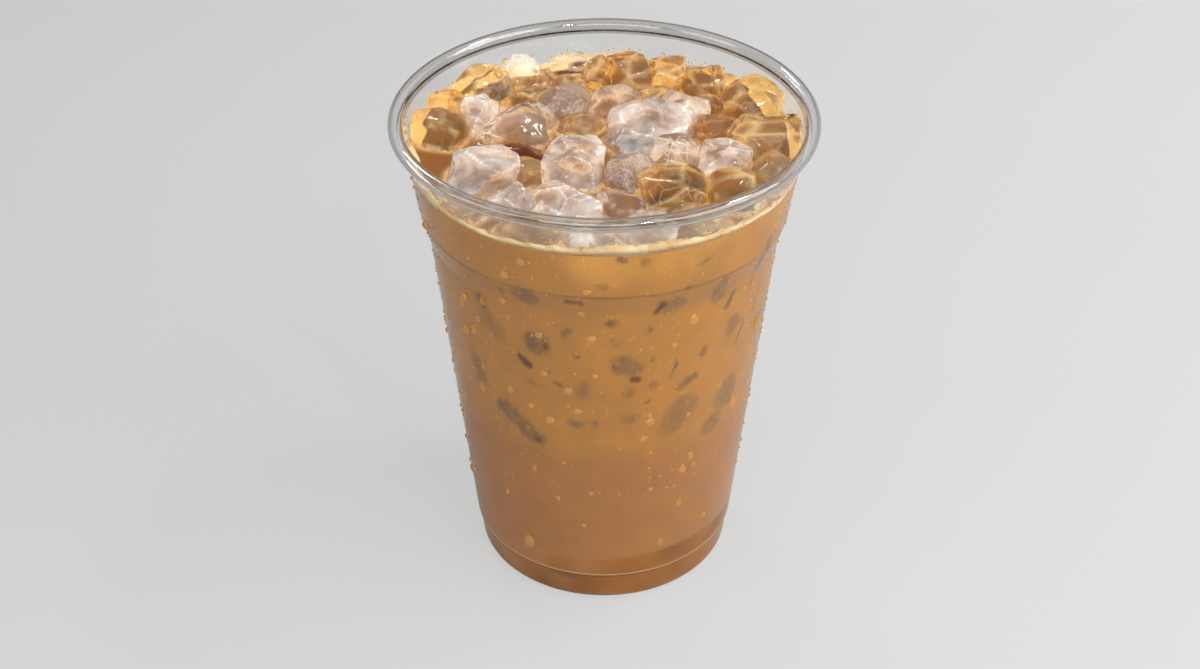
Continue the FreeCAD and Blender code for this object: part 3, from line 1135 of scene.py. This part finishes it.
# Bearing, height, length, width, tilt, strength and softness, as in SunkLump.
SUNK_ICE = tuple(SunkLump(*row) for row in (
    (-32, 95, 2.5, 2.2, 0, 0.5, 0.5), (-24, 95, 6, 4, -10, 0.6, 0.7),
    (-40, 84, 13, 4, -60, 0.35, 1.2), (-12, 86, 3.2, 3, 20, 0.6, 0.7),
    (-22, 81.5, 6.5, 6.2, 0, 0.75, 0.7), (2, 89, 3.6, 2, 0, 0.6, 0.6),
    (4, 108, 2.8, 2.4, 0, 0.7, 0.5), (11, 107, 1.9, 1.5, 0, 0.5, 0.5),
    (-1, 100.5, 3, 1.3, 0, 0.4, 0.4), (21, 93, 6.3, 5, 10, 0.45, 0.8),
    (26, 97.5, 2, 1.5, 30, 0.6, 0.3), (38, 93, 7.5, 4, 80, 0.6, 0.7),
    (44, 88, 4.6, 1.7, 60, 0.8, 0.4), (57, 96, 9, 3, 70, 0.7, 0.5),
    (47, 79.5, 5.5, 4.5, 50, 0.5, 1.0), (52, 76, 7, 0.8, 75, 0.7, 0.3),
    (60, 82, 7, 0.9, 85, 0.6, 0.3), (54, 89, 4, 0.9, 80, 0.6, 0.3),
    (30, 104, 5, 1.2, 20, 0.5, 0.4), (14, 86.5, 1.6, 1.2, 0, 0.7, 0.4),
    (4, 83.5, 2.7, 2.3, 0, 0.4, 0.8), (35, 76, 3.2, 2.2, 60, 0.8, 0.4),
    (-49, 66, 7.5, 3.5, -70, 0.5, 1.0), (-19, 73.5, 1.7, 1.4, 0, 0.6, 0.4),
    (-16, 70.5, 2.6, 1.2, -55, 0.7, 0.4), (-24, 69, 4.2, 1.2, 0, 0.45, 0.5),
    (-7, 69.5, 6, 3, 80, 0.45, 1.1), (-32, 55.5, 15, 4.6, -38, 0.65, 0.8),
    (-38, 58.5, 4, 3.4, 0, 0.5, 0.6), (-10, 59, 3.4, 2.2, 0, 0.6, 0.7),
    (-6, 59.5, 5, 1.4, 0, 0.35, 0.7), (-3, 59.5, 2.2, 1.8, 30, 0.6, 0.5),
    (-61, 55.5, 5.8, 0.9, -75, 0.5, 0.4), (7, 76.5, 7.5, 6, -35, 0.55, 0.7),
    (8, 68.5, 2.8, 2.1, 60, 0.5, 0.6), (16, 77.5, 1.6, 1.3, 0, 0.5, 0.4),
    (24, 73.5, 5.2, 0.6, 78, 0.8, 0.2), (17, 70, 1.9, 1.6, 0, 0.5, 0.4),
    (29, 68.5, 6.8, 2.2, 30, 0.7, 0.7), (49, 59, 9.4, 7, 80, 0.5, 1.2),
    (27, 59, 12, 7, 50, 0.45, 1.1), (28, 61, 3, 2, 50, 0.35, 0.8),
    (43, 51.5, 6.5, 4.8, 45, 0.5, 1.0), (9, 60.5, 4.4, 3, 0, 0.45, 0.9),
    (15, 65, 1.7, 0.8, 25, 0.6, 0.3),
))
TOUCHING_ICE = tuple(SunkLump(*row) for row in (
    (-9, 95.5, 4.2, 1.2, -20, 0.7, 0.3), (-42, 88, 3.5, 1.0, -60, 0.8, 0.25),
    (-19, 81, 1.3, 1.5, 0, 0.8, 0.25), (2, 89, 1.5, 0.9, 15, 0.9, 0.3),
    (4, 108, 1.8, 1.4, 0, 0.4, 0.5), (17, 92.5, 4.2, 1.4, 50, 0.95, 0.3),
    (-27, 75, 4.8, 1.8, -35, 0.9, 0.25), (-9, 79.5, 1.5, 1.5, 0, 0.85, 0.3),
    (-25, 52, 1.2, 1.2, 0, 0.8, 0.25), (10, 72.5, 2.8, 1.3, 0, 0.9, 0.3),
    (3, 76.5, 0.9, 0.8, 0, 0.9, 0.2), (-15, 70, 1.0, 0.7, 0, 0.4, 0.3),
))


@dataclass(frozen=True)
class HiddenIce:
    """Sunk lumps round the back, by chance, like those that show at the front."""

    seed: int = 5
    count: int = 75
    bearings: tuple[float, float] = (70, 290)
    heights: tuple[float, float] = (52, 106)
    lengths: tuple[float, float] = (1.5, 11)
    widths: tuple[float, float] = (0.3, 0.8)    # as shares of the length
    tilts: tuple[float, float] = (-70, 80)
    strengths: tuple[float, float] = (0.35, 0.75)
    softness: tuple[float, float] = (0.3, 1.1)

    def lumps(self) -> tuple[SunkLump, ...]:
        """Draws the lumps.

        Returns:
            The same lumps each time.
        """
        chance = random.Random(self.seed)
        made = []
        for _ in range(self.count):
            length = chance.uniform(*self.lengths)
            bearing, height = chance.uniform(*self.bearings), chance.uniform(*self.heights)
            width = length * chance.uniform(*self.widths)
            rest = [chance.uniform(*ends) for ends in (self.tilts, self.strengths, self.softness)]
            made.append(SunkLump(bearing, height, length, width, *rest))
        return tuple(made)


# ---- The drink -----------------------------------------------------------------------------
@dataclass(frozen=True)
class PaintedAmberLight:
    """Painted light: an amber band above the foot, strong on the lit right, and traces of it on the
    left.
    """

    top: float = 14.2
    wave: float = 0.8          # its upper edge rises and falls by this much
    waves: float = 2.3         # how often it does so on the way round
    blur: float = 0.5
    # How amber each stretch is, the bearings over which it begins, and those over which it ends.
    stretches: tuple[tuple[float, ...], ...] = (
        (1.0, -12, 8, 175, 150), (0.35, -28, -22, -8, -14), (0.7, -60, -75, -178, -150),
    )

    def share(self, bearings: np.ndarray, heights: np.ndarray) -> np.ndarray:
        """How strongly the painted amber light shows at points of the wall.

        Args:
            bearings: the points' bearings.
            heights: their heights.

        Returns:
            A share from 0 to 1 for each point.
        """
        top = self.top + self.wave * np.sin(np.radians(bearings * self.waves))
        most = np.zeros(len(bearings))
        for strength, *ends in self.stretches:
            begun, ended = smooth_step(*ends[:2], bearings), smooth_step(*ends[2:], bearings)
            most = np.maximum(most, strength * begun * ended)
        return smooth_step(top + self.blur, top - self.blur, heights) * most


@dataclass(frozen=True)
class FootMilk:
    """Milk in the foot of the cup: clouds of it at the left, and a layer along the bottom."""

    left_bearings: tuple[float, float] = (0, -18)    # from none of it to all of it
    left_heights: tuple[float, float] = (8.8, 5.5)
    left_share: float = 0.7
    bottom_heights: tuple[float, float] = (2.8, 0.8)
    bottom_share: float = 0.75
    bottom_clouds: float = 0.4
    cloud_width: float = 14.0     # in degrees
    cloud_height: float = 5.0
    cloud_slice: float = 3.3      # where the pattern of the clouds is cut

    def share(self, bearings: np.ndarray, heights: np.ndarray) -> np.ndarray:
        """How milky points of the foot are.

        Args:
            bearings: the points' bearings.
            heights: their heights.

        Returns:
            A share from 0 to 1 for each point.
        """
        spots = zip(bearings / self.cloud_width, heights / self.cloud_height)
        clouds = np.array([noise.noise(Vector((*spot, self.cloud_slice))) for spot in spots])
        left = smooth_step(*self.left_bearings, bearings) * smooth_step(*self.left_heights, heights)
        bottom = self.bottom_share * smooth_step(*self.bottom_heights, heights)
        most = np.maximum(left * (self.left_share + clouds), bottom + self.bottom_clouds * clouds)
        return np.clip(most, 0, 1)


@dataclass
class Drink:
    """The three layers of the drink and the froth at its edge, each a closed body."""

    cup: PetCup
    into_wall: float = 0.15     # the drink reaches this far into the sheet, so that no air shows
    segments: int = 480
    row_gap: float = 0.62
    ring_gap: float = 0.52
    well_lift: float = 0.25     # the wells' floors lie just inside the ice
    well_full: float = 7.0      # depth at which a well's painted shade is at its darkest
    meniscus_rise: float = 0.7  # how far the drink climbs the ice
    meniscus_reach: float = 0.8
    cream_reach: float = 0.9
    froth_width: float = 2.4
    froth_rise: float = 2.2
    froth_rows: int = 10
    froth_crests: tuple[tuple[float, float], ...] = ((178, 14), (130, 30), (-60, 12), (10, 30))
    froth_curve: tuple[float, float] = (1.6, 1.7)    # how it curves inwards and up
    froth_least: float = 0.3    # its height anywhere, and what a crest adds, as shares of its rise
    froth_crest: float = 0.85
    # The size of its waves, their share of its rise, and where their pattern is cut.
    froth_waves: tuple[tuple[float, float, float], ...] = ((7, 0.35, 1.7), (2, 0.2, 5.1))
    froth_depth: float = 0.5    # how far the froth reaches down into the drink
    foot_turn: float = 3.0      # height where the foot's rounding has become its side
    disc_gap: float = 8.0       # between the rings of a face that doesn't show
    corner_deg: float = 62.0    # edges of a body that turn by more than this stay sharp
    at_wall: float = 0.3        # points no further in than this belong to the wall
    at_level: float = 0.01
    side_lap: float = 0.4       # the surface's outermost ring keeps the side's colour
    well_slope: float = 2.2     # a well is no deeper than this many times the way to its edge
    well_cream: float = 0.5     # depth over which the cream at a well's edge ends
    # The outlines of sunk ice wander along and up: over what distance, and the share of ripples.
    ragged_along: float = 3.1
    ragged_up: tuple[float, float] = (2.2, 0.9)
    ripple_share: float = 0.6
    near_ragged: tuple[float, float] = (1.6, 0.9)     # by degrees along and millimetres up
    touch_ragged: tuple[float, float] = (1.2, 0.7)

    def __post_init__(self) -> None:
        """Takes the layers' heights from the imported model."""
        self.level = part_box("iced_coffee")[1].z / MM
        self.milky_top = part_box("milky_coffee")[1].z / MM
        self.settled_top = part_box("settled_coffee")[1].z / MM
        self.wall = self.cup.inside(self.into_wall)

    def wall_rows(self, low: float, high: float) -> Path:
        """The wall between two heights, in rows close enough to carry fine colour.

        Args:
            low: the lower height.
            high: the upper height.

        Returns:
            The rows' profile, upwards.
        """
        rows = max(2, round((high - low) / self.row_gap))
        heights = np.linspace(low, high, rows + 1)
        return [(float(self.cup.radius_at(self.wall, z)), float(z)) for z in heights]

    def disc_rows(self, radius: float, height: float, gap: float) -> Path:
        """Rings from just inside a radius to the middle, at one height."""
        rings = max(1, round(radius / gap))
        return [(radius * (1 - k / rings), height) for k in range(1, rings)] + [(0.0, height)]

    def bearings(self, points: np.ndarray) -> np.ndarray:
        """Each point's bearing round the cup, in degrees."""
        return np.degrees(np.arctan2(points[:, 0], -points[:, 1]))

    def side_marks(self, points: np.ndarray) -> dict[str, np.ndarray]:
        """What the sunk ice and the painted amber light above the foot do to the colour at points of
        the wall.

        Args:
            points: the body's points.

        Returns:
            The marks "ice_near", "ice_touch" and "amber" for every point.
        """
        radius = np.hypot(points[:, 0], points[:, 1])
        on_wall = radius > self.cup.radius_at(self.wall, points[:, 2]) - self.at_wall
        bearings, heights = self.bearings(points), points[:, 2]
        places = [Vector(p) for p in points]
        wave, ripple = self.ragged_up
        warp = np.array([noise.noise(p / wave) for p in places])
        warp += self.ripple_share * np.array([noise.noise(p / ripple) for p in places])
        sway = np.array([noise.noise(p / self.ragged_along + Vector((9, 5, 2))) for p in places])
        marks = {"amber": np.where(on_wall, PaintedAmberLight().share(bearings, heights), 0.0)}
        for name, lumps, (swing, rise) in (
            ("ice_near", SUNK_ICE + HiddenIce().lumps(), self.near_ragged),
            ("ice_touch", TOUCHING_ICE, self.touch_ragged),
        ):
            most = np.zeros(len(points))
            for lump in lumps:
                shade = lump.shade(bearings + swing * sway, heights + rise * warp, radius)
                most = np.maximum(most, shade)
            marks[name] = np.where(on_wall, most, 0.0)
        return marks

    def surface_marks(self, points: np.ndarray, ice: BVHTree) -> dict[str, np.ndarray]:
        """Shapes the surface round the ice, and marks its wells and its cream.

        Args:
            points: the body's points, in millimetres; those of the surface are moved.
            ice: the lumps' faces.

        Returns:
            The marks "well", "cream" and "top" for every point.
        """
        well = np.zeros(len(points))
        cream = np.zeros(len(points))
        radius = np.hypot(points[:, 0], points[:, 1])
        on_top = points[:, 2] > self.level - self.at_level
        top = on_top & (radius < radius.max() - self.side_lap)
        for i in np.flatnonzero(on_top):
            here = Vector((points[i, 0], points[i, 1], self.level))
            up = ice.ray_cast(here, Vector((0, 0, 1)))
            away = ice.find_nearest(here)[3]
            if up[0] is not None and up[1].z > 0:
                down = ice.ray_cast(here, Vector((0, 0, -1)))
                floor = here.z - down[0].z if down[0] is not None else away
                depth = min(floor, away * self.well_slope)
                points[i, 2] = self.level - max(depth - self.well_lift, 0.0)
                # how deep the well is, which the painted shade in the drink's colour follows
                well[i] = min(depth / self.well_full, 1.0)
                cream[i] = math.exp(-(depth / self.well_cream) ** 2)
            else:
                climb = math.exp(-away / self.meniscus_reach)
                points[i, 2] = self.level + self.meniscus_rise * climb
                cream[i] = math.exp(-(away / self.cream_reach) ** 2)
        return {"well": well, "cream": cream, "top": top}

    def layer(self, low: float, high: float, gap: float, under: Optional[Path] = None) -> Surface:
        """A closed layer of the drink.

        Args:
            low: the height where its wall begins.
            high: the height of its surface.
            gap: the distance between the rings of that surface.
            under: its underside from the axis outwards, or None for a flat one.

        Returns:
            The layer.
        """
        side = self.wall_rows(low, high)
        if under is None:
            under = self.disc_rows(side[0][0], low, self.disc_gap)[::-1]
        return lathe(under + side + self.disc_rows(side[-1][0], high, gap), self.segments)

    def place(self, body: Surface, node: str, finish: Finish) -> None:
        """Makes a layer's piece, which stands for the node of that name."""
        dress(body.to_object(node + "_body", self.corner_deg), finish.material(), node, node)

    def build_iced(self, ice: BVHTree) -> None:
        """Makes the top layer, whose surface is shaped round the ice.

        Args:
            ice: the lumps' faces.
        """
        body = self.layer(self.milky_top, self.level, self.ring_gap)
        body.marks = self.side_marks(body.points)
        body.marks.update(self.surface_marks(body.points, ice))
        self.place(body, "iced_coffee", MilkCoffee())

    def build_milky(self) -> None:
        """Makes the milkier layer below, without ice."""
        body = self.layer(self.settled_top, self.milky_top, self.disc_gap)
        body.marks = self.side_marks(body.points)
        self.place(body, "milky_coffee", MilkCoffee())

    def build_settled(self) -> None:
        """Makes the settled layer, down to the cup's floor: milky at the left and at the bottom."""
        turn = max(i for i, p in enumerate(self.wall) if p[1] < self.foot_turn)
        under = self.wall[:turn + 1]
        body = self.layer(self.foot_turn, self.settled_top, self.disc_gap, under)
        bearings, heights = self.bearings(body.points), body.points[:, 2]
        foot = FootMilk().share(bearings, heights)
        # above the foot line it is milky except where the painted amber light shows
        above = 1 - PaintedAmberLight().share(bearings, heights)
        body.marks = {"milky": np.where(heights > self.cup.foot_line_z, above, foot)}
        self.place(body, "settled_coffee", SettledCoffee())

    def build_froth(self) -> None:
        """Makes the froth: a ring against the wall, higher in some places than in others."""
        wall_r = float(self.cup.radius_at(self.wall, self.level))
        rows: Path = []
        for k in range(self.froth_rows + 1):
            t = k / self.froth_rows
            inset = self.froth_width * (1 - t) ** self.froth_curve[0]
            rows.append((wall_r - inset, self.level + self.froth_rise * t ** self.froth_curve[1]))
        floor = self.level - self.froth_depth
        back = [(wall_r, floor), (wall_r - self.froth_width, floor), rows[0]]
        body = lathe(rows + back, self.segments)
        bearings = self.bearings(body.points)
        for i, (x, y, z) in enumerate(body.points):
            crest = max(
                math.exp(-(float(wrapped(bearings[i] - at)) / wide) ** 2)
                for at, wide in self.froth_crests
            )
            swell = self.froth_least + self.froth_crest * crest
            for size, share, cut in self.froth_waves:
                swell += share * noise.noise(Vector((x / size, y / size, cut)))
            height = self.level + (z - self.level) * swell if z > self.level else z
            wall_here = float(self.cup.radius_at(self.wall, height))
            scale = 1 + (wall_here - wall_r) / math.hypot(x, y)
            body.points[i] = (x * scale, y * scale, height)
        dress(body.to_object("froth_ring", 180), MilkFroth().material(), "froth", "froth")

    def build(self, ice: BVHTree) -> None:
        """Makes every layer.

        Args:
            ice: the lumps' faces.
        """
        self.build_iced(ice)
        self.build_milky()
        self.build_settled()
        self.build_froth()


# ---- Condensation --------------------------------------------------------------------------
@dataclass(frozen=True)
class Drop:
    """One drop on the wall: its place, half width, how far it is drawn out, and its bulge."""

    bearing: float
    height: float
    half_width: float
    stretch: float
    bulge: float


# Bearing, height, half width and how far it is drawn out, in degrees and millimetres.
CHOSEN_DROPS = (
    (-33, 16, 1.15, 1.5), (34, 44, 0.7, 1.7), (36, 41, 0.45, 1.5), (31, 41, 0.75, 1.5),
    (31, 30, 0.6, 2.2), (46, 21, 0.5, 2.2), (24, 18, 0.55, 1.8), (18, 37, 0.5, 0.8),
    (-27, 42, 0.5, 1.4), (-42, 30, 0.5, 1.7), (-15, 46, 0.4, 1.0), (-18, 34, 0.5, 1.1),
    (-5, 37, 0.45, 1.0), (-8, 26, 0.45, 0.8), (16, 59, 0.9, 1.0), (16, 61, 0.5, 1.3),
    (31, 58, 0.5, 1.3), (-12, 69, 0.85, 1.0), (-20, 73, 0.7, 0.9), (-34, 65, 0.6, 1.6),
    (-19, 59, 0.85, 1.0), (-9, 63, 0.7, 0.9), (-26, 62, 0.55, 1.2), (-48, 61, 0.6, 2.2),
    (-46, 68, 0.55, 1.9), (-33, 91, 0.75, 1.0), (-30, 100, 0.85, 1.0), (-24, 105, 0.75, 1.0),
    (-7, 92, 0.65, 1.0), (-4, 85, 0.8, 0.9), (-21, 84, 0.75, 0.9), (-5, 99, 0.8, 0.8),
    (29, 87, 0.9, 1.3), (23, 81, 0.55, 1.1), (65, 73, 0.7, 1.8), (14, 54, 0.6, 1.1),
    (44, 63, 0.6, 1.7), (54, 54, 0.7, 1.7), (-53, 76, 0.8, 1.7), (-48, 78, 0.6, 1.6),
    (-53, 84, 0.6, 1.9), (-51, 86, 0.8, 1.2), (-3, 74, 0.55, 1.0), (-9, 80, 0.35, 1.2),
    (17, 49, 0.4, 1.0), (17, 44, 0.35, 1.0), (17.5, 46, 0.2, 1.0), (17.5, 42.5, 0.2, 1.0),
    (17.5, 41, 0.3, 1.0), (17.5, 39.5, 0.2, 1.0), (17, 51.5, 0.2, 1.0), (-42, 88, 0.6, 1.5),
    (-45, 82, 0.5, 1.4),
)


@dataclass
class Condensation:
    """The drops on the outside of the cup: a few large, more small, and a fine scatter."""

    cup: PetCup
    seed: int = 11
    fine: int = 1500
    small: int = 400
    sizes: tuple[tuple[float, float], ...] = ((0.16, 0.28), (0.26, 0.48), (0.5, 0.9))
    large: int = 120
    top: float = 113.0         # the highest drop, and how far down each sort of drop reaches
    depths: tuple[float, float, float] = (78.0, 98.0, 98.0)
    placed_size: float = 0.45  # larger drops are listed for this much of the front
    placed_reach: float = 68.0
    swell: float = 1.2         # the chosen drops' half widths are multiplied by this
    sunk: float = 0.05         # how far a drop's foot lies inside the wall
    narrowing: float = 0.22    # how much narrower a drawn-out drop is at its top
    # Up to which half width a drop has how many rings and sides.
    steps: tuple[tuple[float, int, int], ...] = ((0.3, 2, 8), (0.5, 3, 12), (math.inf, 6, 20))

    def scattered(self) -> list[Drop]:
        """Every drop: those listed for the front and those that fall by chance.

        Returns:
            The drops.
        """
        chance = random.Random(self.seed)
        drops = [Drop(b, z, w * self.swell, s, 0.4) for b, z, w, s in CHOSEN_DROPS]
        kinds = zip((self.fine, self.small, self.large), self.depths, self.sizes)
        for count, depth, (low, high) in kinds:
            for _ in range(count):
                height = self.top - depth * chance.random() ** 1.6
                bearing = chance.uniform(-180, 180)
                if high > self.placed_size and abs(bearing) < self.placed_reach:
                    continue
                size = low + (high - low) * chance.random() ** 2
                stretch, bulge = chance.uniform(0.9, 1.5), chance.uniform(0.35, 0.55)
                drops.append(Drop(bearing, height, size, stretch, bulge))
        return drops

    def build(self) -> None:
        """Makes all the drops as one piece of closed domes."""
        outer = self.cup.outside()
        points: list[np.ndarray] = []
        faces: list[Sequence[int]] = []
        count = 0
        for drop in self.scattered():
            rings, sides = next(steps for size, *steps in self.steps if drop.half_width < size)
            radius = float(self.cup.radius_at(outer, drop.height))
            above = float(self.cup.radius_at(outer, drop.height + 1))
            bearing = math.radians(drop.bearing)
            out_flat = np.array([math.sin(bearing), -math.cos(bearing), 0.0])
            across = np.array([math.cos(bearing), math.sin(bearing), 0.0])
            up = out_flat * (above - radius) + np.array([0, 0, 1.0])
            up /= np.linalg.norm(up)
            out = np.cross(across, up)
            middle = out_flat * radius + np.array([0, 0, drop.height])
            high = 2 * drop.half_width * drop.bulge
            own = []
            for k in range(rings + 1):
                lean = math.pi / 2 * (1 - k / (rings + 1))
                rise = high * math.cos(lean) if k else -self.sunk
                wide = drop.half_width * math.sin(lean)
                for s in range(sides):
                    turn = 2 * math.pi * s / sides
                    v = math.sin(turn) * drop.stretch
                    narrow = 1 - self.narrowing * max(v, 0.0) * (drop.stretch - 1)
                    aside = wide * math.cos(turn) * narrow
                    own.append(middle + across * aside + up * wide * v + out * rise)
            own.append(middle + out * high)
            tip = count + len(own) - 1
            for k in range(rings):
                for s in range(sides):
                    a, b = count + k * sides + s, count + k * sides + (s + 1) % sides
                    faces.append((a, b, b + sides, a + sides))
            last = count + rings * sides
            faces += [(last + s, last + (s + 1) % sides, tip) for s in range(sides)]
            faces.append(tuple(count + s for s in reversed(range(sides))))
            points.append(np.array(own))
            count += len(own)
        piece = Surface(np.concatenate(points), faces).to_object("condensation", 80)
        dress(piece, Water().material(), "pet_cup")


# ---- Studio --------------------------------------------------------------------------------
@dataclass(frozen=True)
class PaleTable(Finish):
    """A pale matt table top that runs on to the horizon."""

    name: str = "table, pale matt laminate"
    colour: str = "#A6A6A6"
    cloud: str = "#A3A3A3"
    clouds: Spread = Spread(0.3, 0.7, size=180.0)
    roughness: float = 0.6
    # the backdrop's colours, with painted light: darker on the left and paler on the right, where
    # the key lamp is
    backdrop_left: str = "#DADADA"
    backdrop_right: str = "#F4F4F4"
    paler_way: tuple[float, float, float] = (0.95, -0.1, 0.0)    # painted light: the backdrop grows paler this way, towards the key lamp
    spread: float = 350.0      # half the width over which it does so, in millimetres
    lift: float = 0.6          # how far the backdrop's own paleness, with its painted light, softens what falls on the table

    def surface(self, tree: Tree) -> Socket:
        """Plain grey with the faintest cloud in it, evened out for the eye but not for the light,
        and painted paler towards the key lamp on the right.

        Args:
            tree: the material's node tree.

        Returns:
            The finished surface.
        """
        colour = laid_over(tree, self.colour, self.cloud, self.clouds.share(tree))
        inputs = {"Roughness": self.roughness, "Base Color": colour}
        shader = add_node(tree, "BsdfPrincipled", inputs)
        inputs = {0: add_node(tree, "TexCoord", out="Object"), 1: self.paler_way}
        along = add_node(tree, "VectorMath", inputs, "Value", operation="DOT_PRODUCT")
        side = Spread(-self.spread * MM, self.spread * MM).share(tree, along)
        backdrop = laid_over(tree, self.backdrop_left, self.backdrop_right, side)
        pale = add_node(tree, "Emission", {"Color": backdrop, "Strength": 1.0})
        rays = {
            0: add_node(tree, "LightPath", out="Is Camera Ray"),
            1: add_node(tree, "LightPath", out="Is Transmission Ray"),
        }
        seen = add_node(tree, "Math", rays, operation="MAXIMUM", use_clamp=True)
        seen = add_node(tree, "Math", {0: seen, 1: self.lift}, operation="MULTIPLY", use_clamp=True)
        return add_node(tree, "MixShader", {0: seen, 1: shader, 2: pale})


@dataclass
class Studio:
    """The camera, the table, and soft light that is strongest from the right."""

    lens: float = 57.87
    sensor: float = 36.0
    camera_place: tuple[float, float, float] = (-0.97, -387.6, 327.35)
    camera_down_deg: float = 34.79
    table_half: float = 3000.0
    sky_high: str = "#EFEDEA"
    sky_low: str = "#524D48"      # dark surroundings, which draw the edges of clear things
    sky_rise: Spread = Spread(0.05, 0.75)
    sky_strength: float = 0.6

    def lamp(self, name: str, place_mm: tuple[float, float, float], size: tuple[float, float],
             watts: float, aim_z: float = 80.0) -> None:
        """Adds a rectangular soft light that faces the cup.

        Args:
            name: the lamp's name.
            place_mm: where it stands.
            size: its width and height.
            watts: its power.
            aim_z: the height on the cup's axis that it faces.
        """
        light = bpy.data.lights.new(name, "AREA")
        light.shape = "RECTANGLE"
        light.size, light.size_y = size[0] * MM, size[1] * MM
        light.energy = watts
        made = bpy.data.objects.new(name, light)
        made.location = Vector(place_mm) * MM
        aim = Vector((0, 0, aim_z * MM)) - made.location
        made.rotation_euler = aim.to_track_quat("-Z", "Y").to_euler()
        bpy.context.scene.collection.objects.link(made)

    def build(self) -> None:
        """Sets up everything that isn't the drink."""
        scene = bpy.context.scene
        scene.view_settings.view_transform = "Standard"
        camera = bpy.data.cameras.new("camera")
        camera.sensor_width = self.sensor
        camera.lens = self.lens
        camera.clip_start = 0.01
        eye = bpy.data.objects.new("camera", camera)
        eye.location = Vector(self.camera_place) * MM
        eye.rotation_euler = (math.radians(90 - self.camera_down_deg), 0, 0)
        scene.collection.objects.link(eye)
        scene.camera = eye
        half = self.table_half
        corners = [[-half, -half, 0], [half, -half, 0], [half, half, 0], [-half, half, 0.0]]
        table = Surface(np.array(corners), [(0, 1, 2, 3)]).to_object("table")
        table.data.materials.append(PaleTable().material())
        world = bpy.data.worlds.new("sky")
        world.use_nodes = True
        scene.world = world
        tree = world.node_tree
        way = add_node(tree, "SeparateXYZ", {0: add_node(tree, "TexCoord", out="Generated")}, "Z")
        colour = laid_over(tree, self.sky_low, self.sky_high, self.sky_rise.share(tree, way))
        back = tree.nodes["Background"]
        tree.links.new(colour, back.inputs["Color"])
        back.inputs["Strength"].default_value = self.sky_strength
        self.lamp("key", (680, -280, 560), (900, 700), 7.5)
        self.lamp("glint", (400, 120, 700), (130, 90), 1.3)
        self.lamp("spark", (240, -560, 640), (70, 70), 1.2)
        self.lamp("front", (-120, -760, 560), (700, 420), 3.0)
        self.lamp("fill", (-650, -300, 520), (500, 500), 1.8)
        self.lamp("back", (-260, 600, 620), (160, 110), 0.7, 110.0)


def main() -> None:
    """Builds the cup, the ice, the drink, its drops and the studio, in that order."""
    logging.basicConfig(level=logging.INFO, format="%(message)s")
    Studio().build()
    cup = PetCup()
    cup.build()
    drink = Drink(cup)
    ice = FloatingIce().build(drink.level, cup)
    drink.build(ice)
    Condensation(cup).build()


if __name__ == "__main__":
    main()
